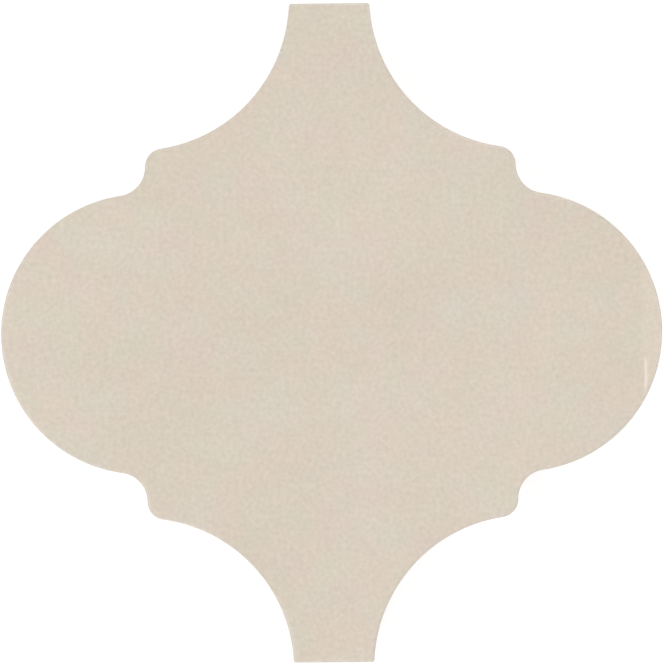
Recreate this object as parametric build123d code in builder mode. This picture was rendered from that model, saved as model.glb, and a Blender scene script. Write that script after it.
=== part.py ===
"""Glazed ceramic wall tile in the lantern shape: two round lobes, two flat-ended necks, and a small
S-shaped step between each lobe and neck. One pressed and fired piece, lying on its back.

Origin at the middle of the back, +Z out of the glazed face, +Y along the necks. Millimetres.

The flanks of neighbouring tiles lie along the same joint. Every arc is drawn half a joint inside or
outside one centre line, so tiles laid neck to neck leave a joint of one width all the way round.
"""

import os
from math import ceil, radians, sqrt, tan

from build123d import *

# Plan
tile_width = 120.0  # across the lobes
tile_height = 119.6  # from neck end to neck end
neck_width = 14.6  # at the narrowest, where two necks meet
joint_width = 2.0  # grout joint that the shape is drawn for
step_radius = 4.3  # joint's centre line round each turn of the step
neck_corner_radius = 0.5

# Section
tile_thickness = 8.5
edge_round = 0.5  # glazed edge of the face
face_land = 1.4  # upright band of the side, below the round
side_draft = 1.5  # degrees, the side leaning in below the band

# Key on the back, which the tile adhesive grips
rim_width = 3.6
key_depth = 0.8
key_draft = 25.0  # degrees, so that the press lets go
rib_width = 2.0  # at the crest
rib_pitch = 10.0
least_pad_share = 0.15  # a recess with less than this share of a whole one is left out

# The joint's centre line has one radius round a lobe and into a neck. This one lets the step stand
# square to the line between the two centres.
flank_run = tile_width - neck_width
flank_rise = tile_height + joint_width
flank_radius = (flank_run**2 + flank_rise**2) / (8 * (flank_run + 4 * step_radius))

half_joint = joint_width / 2
neck_radius = flank_radius + half_joint
lobe_radius = flank_radius - half_joint
shoulder_radius = step_radius - half_joint
cove_radius = step_radius + half_joint

# Centres of the arcs in the quarter with x and y above zero
neck_centre = Vector(neck_width / 2 + neck_radius, tile_height / 2 + half_joint)
lobe_centre = Vector(tile_width / 2 - lobe_radius, 0)
step_middle = (neck_centre + lobe_centre) / 2
step_arm = (neck_centre - lobe_centre).normalized().rotate(Axis.Z, 90) * step_radius
shoulder_centre = step_middle + step_arm
cove_centre = step_middle - step_arm

neck_reach = sqrt(neck_radius**2 - half_joint**2)
neck_corner = Vector(neck_centre.X - neck_reach, tile_height / 2)

# The side leans in towards the back, and the bevel there is what its tightest corner has room for
shoulder_height = tile_thickness - edge_round - face_land
back_inset = shoulder_height * tan(radians(side_draft))
back_arris = 0.75 * (neck_corner_radius - back_inset)


def round_arc(centre, start, end):
    """The shorter arc about centre, from start to end."""
    outward = (start - centre).normalized() + (end - centre).normalized()
    ThreePointArc(start, centre + outward.normalized() * (start - centre).length, end)


def meeting(centre, radius, other_centre):
    """Where the circle about centre meets the one about other_centre that touches it."""
    return centre + (other_centre - centre).normalized() * radius


# Outline at its widest
with BuildSketch() as outline:
    with BuildLine():
        neck_end = meeting(neck_centre, neck_radius, shoulder_centre)
        step_turn = meeting(shoulder_centre, shoulder_radius, cove_centre)
        lobe_end = meeting(lobe_centre, lobe_radius, cove_centre)
        Line(Vector(0, tile_height / 2), neck_corner)
        round_arc(neck_centre, neck_corner, neck_end)
        round_arc(shoulder_centre, neck_end, step_turn)
        round_arc(cove_centre, step_turn, lobe_end)
        round_arc(lobe_centre, lobe_end, Vector(tile_width / 2, 0))
        mirror(about=Plane.YZ)
        mirror(about=Plane.XZ)
    make_face()
    neck_corners = outline.vertices().group_by(SortBy.DISTANCE)[-1]
    fillet(neck_corners, neck_corner_radius)

# Pads of the press that sink the key into the back, with the ribs as the gaps between them
with BuildPart() as key_pads:
    with BuildSketch():
        add(outline.sketch)
        offset(amount=-rim_width - back_inset)
    extrude(amount=key_depth, taper=key_draft)
    rib_root = rib_width + 2 * key_depth * tan(radians(key_draft))
    for plane, span in ((Plane.XZ, tile_width), (Plane.YZ, tile_height)):
        rows = 2 * ceil(span / 2 / rib_pitch) + 1  # odd, so that two ribs cross at the origin
        with BuildSketch(plane):
            with GridLocations(rib_pitch, 0, rows, 1):
                Trapezoid(
                    rib_root,
                    key_depth,
                    90 - key_draft,
                    rotation=180,
                    align=(Align.CENTER, Align.MAX),
                )
        extrude(amount=max(tile_width, tile_height), both=True, mode=Mode.SUBTRACT)

with BuildPart() as wall_tile:
    with BuildSketch(Plane.XY.offset(shoulder_height)) as widest:
        add(outline.sketch)
    extrude(amount=face_land + edge_round)
    extrude(widest.sketch, amount=-shoulder_height, taper=side_draft)
    face = wall_tile.faces().sort_by(Axis.Z)[-1]
    fillet(face.edges(), edge_round)
    back = wall_tile.faces().sort_by(Axis.Z)[0]
    chamfer(back.edges(), back_arris)
    whole_pad = key_pads.solids().sort_by(SortBy.VOLUME)[-1]
    for pad in key_pads.solids():
        if pad.volume > least_pad_share * whole_pad.volume:
            add(pad, mode=Mode.SUBTRACT)

wall_tile.part.label = "wall_tile"
os.makedirs("parts", exist_ok=True)
export_step(wall_tile.part, "parts/wall_tile.step")
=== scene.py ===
import math

import bpy
import numpy as np
from mathutils import Matrix, Vector, kdtree, noise
from mathutils.geometry import delaunay_2d_cdt


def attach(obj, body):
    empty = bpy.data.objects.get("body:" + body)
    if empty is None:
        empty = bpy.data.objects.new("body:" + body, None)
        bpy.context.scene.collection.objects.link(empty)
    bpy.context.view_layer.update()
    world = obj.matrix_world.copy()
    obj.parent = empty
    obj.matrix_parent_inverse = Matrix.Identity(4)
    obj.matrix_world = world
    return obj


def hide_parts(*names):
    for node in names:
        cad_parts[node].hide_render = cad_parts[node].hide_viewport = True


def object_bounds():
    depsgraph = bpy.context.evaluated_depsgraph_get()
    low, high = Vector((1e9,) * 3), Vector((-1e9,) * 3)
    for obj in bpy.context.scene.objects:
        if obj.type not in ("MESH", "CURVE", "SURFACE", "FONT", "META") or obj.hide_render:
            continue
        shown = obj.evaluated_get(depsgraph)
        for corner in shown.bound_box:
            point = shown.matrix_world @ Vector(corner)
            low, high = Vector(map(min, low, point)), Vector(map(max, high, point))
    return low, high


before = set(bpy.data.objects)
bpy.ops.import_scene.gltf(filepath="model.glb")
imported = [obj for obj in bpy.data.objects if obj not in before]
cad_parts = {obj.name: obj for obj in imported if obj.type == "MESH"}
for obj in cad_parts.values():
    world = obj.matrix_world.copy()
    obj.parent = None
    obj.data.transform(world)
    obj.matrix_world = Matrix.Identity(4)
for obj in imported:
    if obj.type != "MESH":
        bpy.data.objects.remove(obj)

# The mesh is worked out in millimetres and scaled once, when it is made.
mm = 0.001
cadLow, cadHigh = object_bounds()
tileWidth, tileHeight, tileThickness = [side / mm for side in cadHigh - cadLow]

# outline of the tile at its widest, on the same arcs as the solid's
plan = {
    "neckWidth": 14.6,  # at the narrowest, where two necks meet
    "jointWidth": 2.0,
    "stepRadius": 4.3,  # joint's middle line round each turn of the step
    "neckCorner": 0.5,
    "pointSpacing": 0.45,
    "cornerPoints": 9,
    "ringSlack": 0.002,  # how much nearer to the outline a ring's point may lie
}


def planPoint(x, y):
    return np.array([x, y], float)


def unit(vector):
    return vector / np.linalg.norm(vector)


def arcPoints(centre, start, end, hollow):
    # points and outward normals along the shorter arc from start to end
    first, last = start - centre, end - centre
    radius = np.linalg.norm(first)
    turn = math.atan2(first[0] * last[1] - first[1] * last[0], first @ last)
    steps = max(plan["cornerPoints"], math.ceil(abs(turn) * radius / plan["pointSpacing"]))
    angles = math.atan2(first[1], first[0]) + turn * np.linspace(0, 1, steps + 1)
    spokes = np.column_stack([np.cos(angles), np.sin(angles)])
    return centre + radius * spokes, -spokes if hollow else spokes


def linePoints(start, end, outward):
    steps = math.ceil(np.linalg.norm(end - start) / plan["pointSpacing"])
    along = np.linspace(0, 1, steps + 1)[:, None]
    return start + along * (end - start), np.tile(outward, (steps + 1, 1))


def quarterOutline():
    # from the middle of the neck's end to the tip of the lobe, with x and y above zero
    halfJoint = plan["jointWidth"] / 2
    run, rise = tileWidth - plan["neckWidth"], tileHeight + plan["jointWidth"]
    flankRadius = (run**2 + rise**2) / (8 * (run + 4 * plan["stepRadius"]))
    neckRadius, lobeRadius = flankRadius + halfJoint, flankRadius - halfJoint
    shoulderRadius = plan["stepRadius"] - halfJoint

    neckCentre = planPoint(plan["neckWidth"] / 2 + neckRadius, tileHeight / 2 + halfJoint)
    lobeCentre = planPoint(tileWidth / 2 - lobeRadius, 0)
    climb = unit(neckCentre - lobeCentre)
    stepArm = planPoint(-climb[1], climb[0]) * plan["stepRadius"]
    shoulderCentre = (neckCentre + lobeCentre) / 2 + stepArm
    coveCentre = (neckCentre + lobeCentre) / 2 - stepArm

    neckEnd = neckCentre + unit(shoulderCentre - neckCentre) * neckRadius
    stepTurn = shoulderCentre + unit(coveCentre - shoulderCentre) * shoulderRadius
    lobeEnd = lobeCentre + unit(coveCentre - lobeCentre) * lobeRadius

    corner = plan["neckCorner"]
    cornerY = tileHeight / 2 - corner
    reach = math.sqrt((neckRadius + corner) ** 2 - (neckCentre[1] - cornerY) ** 2)
    cornerCentre = planPoint(neckCentre[0] - reach, cornerY)
    cornerEnd = cornerCentre + unit(neckCentre - cornerCentre) * corner
    cornerStart = cornerCentre + planPoint(0, corner)

    runs = [
        linePoints(planPoint(0, tileHeight / 2), cornerStart, planPoint(0, 1)),
        arcPoints(cornerCentre, cornerStart, cornerEnd, hollow=False),
        arcPoints(neckCentre, cornerEnd, neckEnd, hollow=True),
        arcPoints(shoulderCentre, neckEnd, stepTurn, hollow=False),
        arcPoints(coveCentre, stepTurn, lobeEnd, hollow=True),
        arcPoints(lobeCentre, lobeEnd, planPoint(tileWidth / 2, 0), hollow=False),
    ]
    points = np.vstack([runs[0][0]] + [stretch[0][1:] for stretch in runs[1:]])
    normals = np.vstack([runs[0][1]] + [stretch[1][1:] for stretch in runs[1:]])
    return points, normals


def wholeOutline():
    # anticlockwise from the tip of the right lobe
    points, normals = quarterOutline()
    loopPoints, loopNormals = [], []
    for flip, forward in (((1, 1), False), ((-1, 1), True), ((-1, -1), False), ((1, -1), True)):
        order = slice(None, -1) if forward else slice(None, 0, -1)
        loopPoints.append((points * flip)[order])
        loopNormals.append((normals * flip)[order])
    return np.vstack(loopPoints), np.vstack(loopNormals)


def distanceInside(points):
    # how far each point lies inside the outline, and below zero outside it
    nearest = np.array([outlineTree.find((x, y, 0))[1] for x, y in points])
    gaps = np.full(len(points), np.inf)
    for first in (nearest - 1, nearest):
        start = outline[first]
        span = outline[(first + 1) % len(outline)] - start
        along = ((points - start) * span).sum(axis=1) / (span**2).sum(axis=1)
        foot = start + along.clip(0, 1)[:, None] * span
        gaps = np.minimum(gaps, np.linalg.norm(points - foot, axis=1))
    side = ((outline[nearest] - points) * outward[nearest]).sum(axis=1)
    return np.where(side > 0, gaps, -gaps)


def ring(inset):
    # the outline moved inwards, without the points that cross over at a tight corner
    points = outline - outward * inset
    return points[distanceInside(points) > inset - plan["ringSlack"]]


def grid(lines, clear, limit=math.inf):
    # grid points that lie inside the outline by more than clear, and less than limit
    points = np.array([(x, y) for x in lines for y in lines])
    distance = distanceInside(points)
    return points[(distance > clear) & (distance < limit)]


def ripple(points, wavelength, seed):
    # smooth noise from -1 to 1 over the plan
    return np.array([noise.noise((x / wavelength, y / wavelength, seed)) for x, y in points])


def smoothStep(values, low, high):
    share = ((values - low) / (high - low)).clip(0, 1)
    return share * share * (3 - 2 * share)


outline, outward = wholeOutline()
outlineTree = kdtree.KDTree(len(outline))
for at, (x, y) in enumerate(outline):
    outlineTree.insert((x, y, 0), at)
outlineTree.balance()
print("outline:", len(outline), "points")

# Each noise is a wavelength and a seed, here and for the side and the back.
tile = {
    "edgeRound": 0.5,
    # rings of points along it and a little beyond, as shares of it
    "edgeRings": (0.01, 0.04, 0.1, 0.18, 0.29, 0.42, 0.58, 0.76, 0.93, 1.03, 1.15, 2.2, 3.6),
    "faceLand": 1.4,  # upright band of the side
    "sideDraft": math.radians(1.5),
    "backArris": 0.25,
    "mostInset": 0.45,  # what the corners of the neck have room for
    "waveNoise": (34, 3.1),
    "waveDepth": 0.012,  # how far the glaze lies low in its slow waves
    "waveFade": 3,  # from the edge inwards
    "plainGrid": 1.15,  # spacing of the points where the surface is plain
    "gridClear": 0.6,  # between that grid and the last ring
}
bandFoot = tileThickness - tile["edgeRound"] - tile["faceLand"]
backInset = bandFoot * math.tan(tile["sideDraft"])
plainLines = np.arange(-math.ceil(tileWidth / 2), tileWidth / 2, tile["plainGrid"])


def faceSamples():
    # rings along the rounded edge, then a plain grid
    insets = [tile["edgeRound"] * share for share in tile["edgeRings"]]
    plain = grid(plainLines, insets[-1] + tile["gridClear"])
    return np.vstack([ring(inset) for inset in insets] + [plain])


def faceHeight(points, distance):
    # the rounded edge, then the face with its slow waves
    edge = tile["edgeRound"]
    left = (edge - distance).clip(0, edge)
    drop = edge - np.sqrt(edge**2 - left**2)
    wave = 0.5 + 0.5 * ripple(points, *tile["waveNoise"])
    return tileThickness - drop - tile["waveDepth"] * wave * smoothStep(distance, 0, tile["waveFade"])


# where the glaze ends on the side, and the bare biscuit below it
glazeRun = {
    "drop": 3.9,  # how far the glaze runs down, on average
    "wander": 0.75,
    "slowNoise": (17, 1.3),
    "slowShare": 0.6,
    "quickNoise": (4.3, 5.9),
    "quickShare": 0.3,
    "dripNoise": (6.5, 9.4),
    "dripFrom": (0.25, 0.6),
    "dripShare": 0.8,
    "thickness": 0.14,
    "lip": 0.07,  # half the height over which it ends
    "bead": 0.045,
    "beadHeight": 0.2,
    "beadWidth": 0.22,
    "grainNoise": (0.9, 2.2),
    "grainDepth": 0.012,
    "grainBelow": -0.1,
    "edgeRows": (0.5, 0.3, 0.18, 0.1, 0.04, 0, -0.04, -0.09, -0.16, -0.3),  # over the glaze's edge
    "upperRows": (0, 0.12, 0.28, 0.46, 0.64, 0.82, 1),  # shares of the way down to those
    "lowerRows": (0.8, 0.55, 0.3, 0.12, 0),  # shares of the way up to them
}


def sideRows():
    # rings of the side from the face down
    slow = glazeRun["slowShare"] * ripple(outline, *glazeRun["slowNoise"])
    quick = glazeRun["quickShare"] * ripple(outline, *glazeRun["quickNoise"])
    drips = smoothStep(ripple(outline, *glazeRun["dripNoise"]), *glazeRun["dripFrom"])
    wander = slow + quick - glazeRun["dripShare"] * drips
    glazeEdge = tileThickness - glazeRun["drop"] + glazeRun["wander"] * wander
    highest, lowest = glazeEdge + glazeRun["edgeRows"][0], glazeEdge + glazeRun["edgeRows"][-1]
    top, foot = tileThickness - tile["edgeRound"], tile["backArris"]
    heights = [top + share * (highest - top) for share in glazeRun["upperRows"]]
    heights += [glazeEdge + over for over in glazeRun["edgeRows"][1:]]
    heights += [foot + share * (lowest - foot) for share in glazeRun["lowerRows"]]
    return [sideRow(height, height - glazeEdge) for height in heights]


def sideRow(height, over):
    # inset, height, and height over the glaze's edge of one ring
    draft = (bandFoot - height).clip(0) * math.tan(tile["sideDraft"])
    fromBead = (over - glazeRun["beadHeight"]) / glazeRun["beadWidth"]
    bead = glazeRun["bead"] * np.exp(-(fromBead**2))
    bare = glazeRun["thickness"] * (1 - smoothStep(over, -glazeRun["lip"], glazeRun["lip"]))
    grain = glazeRun["grainDepth"] * ripple(outline + height[:, None], *glazeRun["grainNoise"])
    grain = grain * (over < glazeRun["grainBelow"])
    inset = (draft + bare - np.minimum(bead, draft) + grain).clip(0)
    return inset, height, over


# the adhesive's key in the back: recesses between ribs, inside a plain rim
key = {
    "rimWidth": 3.6,
    "depth": 0.8,
    "draft": math.radians(25),
    "ribWidth": 2.0,
    "ribPitch": 10.0,
    "leastPadShare": 0.15,  # a recess with less than this share of a whole one is left out
    "padSamples": 16,  # along one pitch, to tell those
    "softness": 0.08,  # rounds the top and the foot of a wall
    "unevenNoise": (9, 7.7),
    "unevenShare": 0.05,  # of the depth
    "unevenFlat": 0.02,
    "unevenFade": (1, 3),  # from the edge inwards
    "rimRings": (0.75, 1.3, 2.2),
    "wallLines": (-0.25, 0.05, 0.35, 0.65, 0.95, 1.25),  # from the top of a wall to its foot
    "floorLines": (0.24, 0.36, 0.5),  # shares of the pitch
    "floorClear": 1.5,  # runs of a wall, from the mouth
    "lipClear": 0.6,
    "plainRim": (2.6, 0.9),  # clear of the edge, and of the recesses
}
keyMouth = key["rimWidth"] + backInset
keyRun = key["depth"] * math.tan(key["draft"])


def ribLines(offsets):
    # lines at these offsets on both sides of the middle of every rib
    rows = math.ceil(tileWidth / 2 / key["ribPitch"])
    lines = {round(row * key["ribPitch"] + side * offset, 4)
             for row in range(-rows, rows + 1) for offset in offsets for side in (-1, 1)}
    return sorted(lines)


def crossings(loop, lines):
    # where a ring crosses the lines along x and along y
    after = np.roll(loop, -1, axis=0)
    found = []
    for axis in (0, 1):
        for line in lines:
            before, beyond = loop[:, axis] - line, after[:, axis] - line
            hit = before * beyond < 0
            share = (before[hit] / (before[hit] - beyond[hit]))[:, None]
            found.append(loop[hit] + share * (after[hit] - loop[hit]))
    return np.vstack(found)


def backSamples():
    # rings in the rim and down its wall, lines along the ribs, and a plain grid in the rim
    walls = [ring(keyMouth + keyRun * share) for share in key["wallLines"]]
    lip = key["ribWidth"] / 2
    offsets = [0] + [lip + keyRun * share for share in key["wallLines"]]
    offsets += [key["ribPitch"] * share for share in key["floorLines"]]
    lines = ribLines(offsets)
    floorFrom = keyMouth + key["floorClear"] * keyRun
    samples = [ring(inset) for inset in (*key["rimRings"], keyMouth - key["lipClear"])] + walls
    samples += [crossings(wall, lines) for wall in walls]
    samples.append(grid(lines, floorFrom))
    for low, high in zip(key["wallLines"], key["wallLines"][1:]):
        # keeps the corners of the recesses mitred
        samples.append(grid(ribLines([lip + keyRun * (low + high) / 2]), floorFrom))
    fromEdge, fromMouth = key["plainRim"]
    samples.append(grid(plainLines, fromEdge, keyMouth - fromMouth))
    return np.vstack(samples)


def toRib(values):
    # how far each value is from the crest of the nearest rib
    pitch = key["ribPitch"]
    return np.abs((values + pitch / 2) % pitch - pitch / 2) - key["ribWidth"] / 2


def insetOfPads(points, distance):
    # how far each point lies inside the mouth of its recess
    return np.minimum(distance - keyMouth, np.minimum(toRib(points[:, 0]), toRib(points[:, 1])))


def keptPads():
    # the recesses that are large enough to be pressed, by column and row
    step = key["ribPitch"] / key["padSamples"]
    half = step * math.ceil(tileWidth / 2 / step)
    lines = np.arange(-half + step / 2, half, step)
    points = np.array([(x, y) for x in lines for y in lines])
    points = points[insetOfPads(points, distanceInside(points)) > keyRun]
    cells, counts = np.unique(np.floor(points / key["ribPitch"]), axis=0, return_counts=True)
    least = key["leastPadShare"] * counts.max()
    return {tuple(cell) for cell, count in zip(cells, counts) if count > least}


def backHeight(points, distance, pads):
    cells = np.floor(points / key["ribPitch"])
    kept = np.array([tuple(cell) in pads for cell in cells])
    soft = key["softness"]
    depth = key["depth"] * smoothStep(insetOfPads(points, distance), -soft, keyRun + soft) * kept
    uneven = 0.5 + 0.5 * ripple(points, *key["unevenNoise"])
    flat = key["unevenFlat"] * uneven * smoothStep(distance, *key["unevenFade"])
    return depth * (1 - key["unevenShare"] * uneven) + flat


def surface(border, samples):
    # points and triangles inside the border, and which of the points given each one comes from
    points = [Vector(point) for point in np.vstack([border, samples])]
    loop = list(range(len(border)))
    insideOnly, closest = 1, 1e-7
    flat, _, faces, origins, _, _ = delaunay_2d_cdt(points, [], [loop], insideOnly, closest)
    return np.array([tuple(point) for point in flat]), faces, [found[0] for found in origins]


def addSheet(points, faces, flat, height, triangles, origins, joined, upward):
    # adds a surface whose border is a ring of points that are there already
    place = {}
    for at, origin in enumerate(origins):
        if origin < len(joined):
            place[at] = joined[origin]
        else:
            place[at] = len(points)
            points.append((flat[at][0], flat[at][1], height[at]))
    for corners in triangles:
        turned = [place[corner] for corner in corners]
        faces.append(turned if upward else turned[::-1])


def inwards(insets):
    # the outline with each point moved in by its own inset
    return outline - outward * np.minimum(insets, tile["mostInset"])[:, None]


def band(upper, lower):
    # the faces between one ring of the side and the next
    count = len(outline)
    pairs = [(at, (at + 1) % count) for at in range(count)]
    return [(upper + at, lower + at, lower + after, upper + after) for at, after in pairs]


def makeTile():
    count = len(outline)
    rows = sideRows()
    points, faces, overGlaze = [], [], []
    for inset, height, over in rows:
        points += [(x, y, z) for (x, y), z in zip(inwards(inset), height)]
        overGlaze += list(over)
    for row in range(len(rows) - 1):
        faces += band(row * count, (row + 1) * count)
    print("side:", len(rows), "rings")

    flat, triangles, origins = surface(outline, faceSamples())
    height = faceHeight(flat, distanceInside(flat))
    addSheet(points, faces, flat, height, triangles, origins, range(count), upward=True)
    overGlaze += [tileThickness] * (len(points) - len(overGlaze))
    print("face:", len(triangles), "triangles")

    border = inwards(rows[-1][0] + tile["backArris"])
    flat, triangles, origins = surface(border, backSamples())
    height = backHeight(flat, distanceInside(flat), keptPads())
    firstBack = len(points)
    joined = range(firstBack, firstBack + count)
    points += [(x, y, 0.0) for x, y in border]
    faces += band((len(rows) - 1) * count, firstBack)
    addSheet(points, faces, flat, height, triangles, origins, joined, upward=False)
    overGlaze += [-tileThickness] * (len(points) - len(overGlaze))
    inner = [at for at, origin in enumerate(origins) if origin >= count]
    crest = [0.0] * (firstBack + count) + [1 - height[at] / key["depth"] for at in inner]
    print("back:", len(triangles), "triangles")

    mesh = bpy.data.meshes.new("glazedTile")
    mesh.from_pydata([Vector(point) * mm for point in points], [], faces)
    mesh.validate()
    for name, values in (("overGlaze", overGlaze), ("crest", crest)):
        mesh.attributes.new(name, "FLOAT", "POINT").data.foreach_set("value", values)
    mesh.polygons.foreach_set("use_smooth", [True] * len(mesh.polygons))
    mesh.update()
    piece = bpy.data.objects.new("glazedTile", mesh)
    bpy.context.scene.collection.objects.link(piece)
    return piece


class Wire:
    # a socket that adds, subtracts and multiplies through Math nodes
    def __init__(self, tree, socket):
        self.tree, self.socket = tree, socket

    def combine(self, operation, first, second):
        return self.tree.node("ShaderNodeMath", {"operation": operation}, {0: first, 1: second})

    def __add__(self, other):
        return self.combine("ADD", self, other)

    def __radd__(self, other):
        return self.combine("ADD", other, self)

    def __sub__(self, other):
        return self.combine("SUBTRACT", self, other)

    def __rsub__(self, other):
        return self.combine("SUBTRACT", other, self)

    def __mul__(self, other):
        return self.combine("MULTIPLY", self, other)

    def __rmul__(self, other):
        return self.combine("MULTIPLY", other, self)


class Tree:
    def __init__(self, owner):
        owner.use_nodes = True
        self.nodes, self.links = owner.node_tree.nodes, owner.node_tree.links
        self.nodes.clear()

    def node(self, kind, settings=None, sockets=None, output=0):
        made = self.nodes.new(kind)
        for name, value in (settings or {}).items():
            setattr(made, name, value)
        for name, value in (sockets or {}).items():
            if isinstance(value, Wire):
                self.links.new(value.socket, made.inputs[name])
            else:
                made.inputs[name].default_value = value
        return Wire(self, made.outputs[output]) if len(made.outputs) else None

    def attribute(self, name):
        return self.node("ShaderNodeAttribute", {"attribute_name": name}, output="Fac")

    def rays(self, kind):
        return self.node("ShaderNodeLightPath", output=kind)

    def larger(self, first, second):
        return self.node("ShaderNodeMath", {"operation": "MAXIMUM"}, {0: first, 1: second})

    def noise(self, place, size, detail):
        # about 0, with features of the given size
        sockets = {"Vector": place, "Scale": 1 / size, "Detail": detail, "Roughness": 0.5}
        return self.node("ShaderNodeTexNoise", {}, sockets) - 0.5

    def step(self, value, low, high):
        sockets = {"Value": value, "From Min": low, "From Max": high}
        return self.node("ShaderNodeMapRange", {"interpolation_type": "SMOOTHSTEP"}, sockets)

    def mix(self, factor, first, second):
        # two numbers, on the Mix node's sockets 2 and 3
        sockets = {0: factor, 2: first, 3: second}
        return self.node("ShaderNodeMix", {"data_type": "FLOAT"}, sockets)

    def mixColour(self, factor, first, second, blend="MIX"):
        # two colours, on its sockets 6 and 7
        settings = {"data_type": "RGBA", "blend_type": blend}
        return self.node("ShaderNodeMix", settings, {0: factor, 6: first, 7: second}, 2)


# A grain is its amount, its size in millimetres and the noise's detail. A spread is a size, a
# detail and the two values of the noise between which it sets in.
glaze = {
    "warm": (0.704, 0.607, 0.515, 1),
    "cool": (0.680, 0.621, 0.519, 1),
    "coolSpread": (6.5, 3.0, -0.2, 0.2),
    "speckleGrain": (0.22, 0.78, 1.0),
    "mottleGrain": (0.055, 4.5, 2.0),
    "driftGrain": (0.075, 24.0, 2.0),
    "blueGrain": (0.12, 10.0, 4.0),
    "roughness": 0.04,
    "roughGrain": (0.02, 5.0, 2.0),
    "peelGrain": (0.004, 2.2, 1.0),
    "ior": 1.52,
    "frayGrain": (0.25, 0.5, 2.0),
    "frayFrom": (-0.03, 0.03),  # heights over the glaze's edge
    "sprayShare": 0.5,  # of glaze in the specks below that edge
    "sprayFade": 0.08,  # fewer of them for each millimetre
    "spraySpread": (0.35, 1.0, 0.11, 0.15),
}
biscuit = {
    "colour": (0.77, 0.71, 0.63, 1),
    "dark": (0.62, 0.545, 0.455, 1),
    "patchShare": 0.35,
    "patchSpread": (7.0, 4.0, -0.25, 0.25),
    "pitShare": 0.5,
    "pitDepth": 0.03,
    "pitSpread": (0.3, 2.0, 0.16, 0.24),
    "wash": (0.89, 0.88, 0.85, 1),  # from the kiln's shelf, on the rim and the ribs
    "washShare": 0.65,
    "washSpread": (1.1, 4.0, -0.12, 0.16),
    "roughness": 0.82,
    "roughGrain": (0.2, 0.6, 2.0),
    "pressGrain": (0.03, 0.35, 3.0),
}


def tileFinish():
    material = bpy.data.materials.new("greigeGlaze")
    tree = Tree(material)
    here = tree.node("ShaderNodeTexCoord", output="Object")
    here = tree.node("ShaderNodeVectorMath", {"operation": "SCALE"}, {0: here, "Scale": 1 / mm})

    def grain(amount, size, detail):
        return amount * tree.noise(here, size, detail)

    def spread(size, detail, low, high, more=None):
        value = tree.noise(here, size, detail)
        return tree.step(value + more if more else value, low, high)

    # where the glaze lies, with its overspray below
    overGlaze = tree.attribute("overGlaze")
    cover = tree.step(overGlaze + grain(*glaze["frayGrain"]), *glaze["frayFrom"])
    specks = spread(*glaze["spraySpread"], more=glaze["sprayFade"] * overGlaze)
    cover = tree.larger(cover, glaze["sprayShare"] * specks)

    glazeColour = tree.mixColour(spread(*glaze["coolSpread"]), glaze["warm"], glaze["cool"])
    tone = 1 + (grain(*glaze["speckleGrain"]) + grain(*glaze["mottleGrain"]))
    tone = tone + grain(*glaze["driftGrain"])
    blue = tone + grain(*glaze["blueGrain"])
    shade = tree.node("ShaderNodeCombineColor", {}, {0: tone, 1: tone, 2: blue})
    glazeColour = tree.mixColour(1.0, glazeColour, shade, "MULTIPLY")

    patches = biscuit["patchShare"] * spread(*biscuit["patchSpread"])
    biscuitColour = tree.mixColour(patches, biscuit["colour"], biscuit["dark"])
    pits = spread(*biscuit["pitSpread"])
    biscuitColour = tree.mixColour(biscuit["pitShare"] * pits, biscuitColour, biscuit["dark"])
    wash = tree.attribute("crest") * spread(*biscuit["washSpread"])
    wash = biscuit["washShare"] * wash
    biscuitColour = tree.mixColour(wash, biscuitColour, biscuit["wash"])

    tileColour = tree.mixColour(cover, biscuitColour, glazeColour)
    glazeRough = glaze["roughness"] + grain(*glaze["roughGrain"])
    biscuitRough = biscuit["roughness"] + grain(*biscuit["roughGrain"])
    roughness = tree.mix(cover, biscuitRough, glazeRough)

    press = grain(*biscuit["pressGrain"]) - biscuit["pitDepth"] * pits
    relief = tree.mix(cover, press, grain(*glaze["peelGrain"]))
    normal = tree.node("ShaderNodeBump", {}, {"Strength": 1.0, "Distance": mm, "Height": relief})

    sockets = {"Base Color": tileColour, "Roughness": roughness, "Normal": normal}
    sockets["IOR"] = glaze["ior"]
    shader = tree.node("ShaderNodeBsdfPrincipled", {}, sockets)
    tree.node("ShaderNodeOutputMaterial", {}, {"Surface": shader})
    return material


# The studio and its lamps are in metres.
studio = {
    "floorSize": 1.2,
    "floorColour": (0.9, 0.9, 0.9, 1),
    "floorGlow": 0.72,
    "floorShare": 0.42,  # how much of the floor's white comes from the lamps, where shadows show
    "worldLight": 0.36,
    "worldWhite": 1.02,  # a little over one, so that the backdrop is plain white
    "dimFrom": (0.15, 0.60),  # sine of the height above the floor, where reflections of it dim
}


def seenShare(tree):
    # one on rays from the camera and on reflections
    mirrored = tree.larger(tree.rays("Is Glossy Ray"), tree.rays("Is Transmission Ray"))
    return tree.larger(tree.rays("Is Camera Ray"), mirrored)


def makeFloor():
    half = studio["floorSize"] / 2
    mesh = bpy.data.meshes.new("studioFloor")
    corners = [(-half, -half, 0), (half, -half, 0), (half, half, 0), (-half, half, 0)]
    mesh.from_pydata(corners, [], [(0, 1, 2, 3)])
    floor = bpy.data.objects.new("studioFloor", mesh)
    bpy.context.scene.collection.objects.link(floor)
    material = bpy.data.materials.new("paleFloor")
    tree = Tree(material)
    seen = seenShare(tree)
    paint = tree.node("ShaderNodeBsdfDiffuse", {}, {"Color": studio["floorColour"]})
    dimmed = tree.node("ShaderNodeBsdfDiffuse", {}, {"Color": (0, 0, 0, 1)})
    dimming = (1 - studio["floorShare"]) * seen
    lit = tree.node("ShaderNodeMixShader", {}, {0: dimming, 1: paint, 2: dimmed})
    glow = tree.node("ShaderNodeEmission", {}, {"Strength": studio["floorGlow"] * seen})
    both = tree.node("ShaderNodeAddShader", {}, {0: lit, 1: glow})
    tree.node("ShaderNodeOutputMaterial", {}, {"Surface": both})
    mesh.materials.append(material)
    return floor


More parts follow.
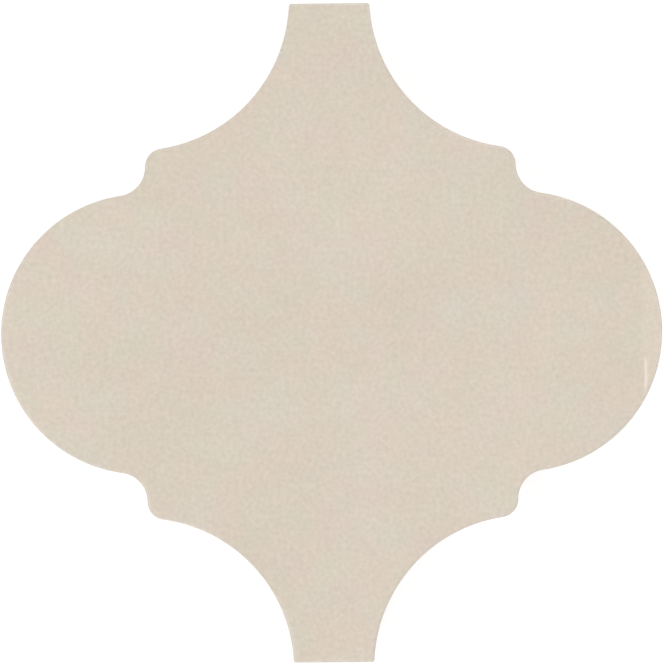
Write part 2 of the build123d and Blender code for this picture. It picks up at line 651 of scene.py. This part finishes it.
def makeWorld():
    world = bpy.data.worlds.new("studioWorld")
    bpy.context.scene.world = world
    tree = Tree(world)
    # white to the camera, and in reflections white low down and dimmer overhead
    toward = tree.node("ShaderNodeTexCoord", output="Generated")
    height = tree.node("ShaderNodeSeparateXYZ", {}, {0: toward}, output=2)
    low = 1 - tree.step(height, *studio["dimFrom"])
    white = tree.larger(tree.rays("Is Camera Ray"), low * seenShare(tree))
    strength = studio["worldLight"] + (studio["worldWhite"] - studio["worldLight"]) * white
    back = tree.node("ShaderNodeBackground", {}, {"Color": (1, 1, 1, 1), "Strength": strength})
    tree.node("ShaderNodeOutputWorld", {}, {"Surface": back})


lamps = {
    # low and narrow, for the glaze to mirror in side views
    "backWindow": {"place": (-1.22, 1.06, 0.68), "size": (0.10, 0.62), "glow": 1.2},
    "frontWindow": {"place": (1.27, -1.11, 0.44), "size": (0.10, 0.50), "glow": 0.6},
    # outside what the face mirrors to a camera above it
    "leftPanel": {"place": (-0.75, -0.15, 0.80), "size": (0.80, 0.60), "glow": 2.68},
    "rightPanel": {"place": (0.75, 0.10, 0.80), "size": (0.70, 0.55), "glow": 2.24},
    "backPanel": {"place": (0.10, 0.85, 0.75), "size": (0.80, 0.55), "glow": 2.5},
    "frontPanel": {"place": (-0.10, -0.85, 0.75), "size": (0.80, 0.55), "glow": 2.3},
    # over the right lobe, for the streak and the paler strip that the face mirrors
    "streakStrip": {"place": (0.06355, -0.0114, 0.0485), "size": (0.0004, 0.0114), "glow": 3.9,
                    "onlyMirrored": True},
    "edgeCard": {"place": (0.0707, 0.0006, 0.0785), "size": (0.0056, 0.0264), "glow": 0.65,
                 "onlyMirrored": True},
}


def makeLamp(name, place, size, glow, onlyMirrored=False):
    # aimed at the tile, or straight down where it is only there to be mirrored
    light = bpy.data.lights.new(name, "AREA")
    light.shape = "RECTANGLE"
    light.size, light.size_y = size
    light.energy = glow * math.pi * size[0] * size[1]
    lamp = bpy.data.objects.new(name, light)
    lamp.location = place
    aim = Vector((place[0], place[1], 0)) if onlyMirrored else Vector((0, 0, 0))
    lamp.rotation_euler = (aim - Vector(place)).to_track_quat("-Z", "Y").to_euler()
    lamp.visible_camera = False
    lamp.visible_diffuse = not onlyMirrored
    bpy.context.scene.collection.objects.link(lamp)


shot = {
    "lens": 100.0,
    "sensor": 36.0,
    "pictureSize": 665,
    "tilePixels": 660.07,  # width of the tile in the photograph
    "centrePixel": (331.64, 332.84),
    "turn": math.radians(0.4446),  # the tile stands this far anticlockwise in the photograph
    "widestAt": 0.0075,  # metres over the floor, where the outline is measured
}


def makeCamera():
    data = bpy.data.cameras.new("camera")
    data.lens, data.sensor_width = shot["lens"], shot["sensor"]
    camera = bpy.data.objects.new("camera", data)
    bpy.context.scene.collection.objects.link(camera)
    perPixel = tileWidth * mm / shot["tilePixels"]
    distance = perPixel * shot["pictureSize"] * shot["lens"] / shot["sensor"]
    middle = shot["pictureSize"] / 2
    pixelX, pixelY = shot["centrePixel"]
    offset = Vector((middle - pixelX, pixelY - middle, 0)) * perPixel
    turned = Matrix.Rotation(-shot["turn"], 4, "Z")
    camera.matrix_world = Matrix.Translation(turned @ offset) @ turned
    camera.location.z = shot["widestAt"] + distance
    bpy.context.scene.camera = camera


makeCamera()
makeWorld()
makeFloor()
for name, lamp in lamps.items():
    makeLamp(name, **lamp)
print("studio: floor, world,", len(lamps), "lamps")

glazedTile = makeTile()
glazedTile.data.materials.append(tileFinish())
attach(glazedTile, "root")
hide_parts("wall_tile")
bpy.context.scene.view_settings.view_transform = "Standard"
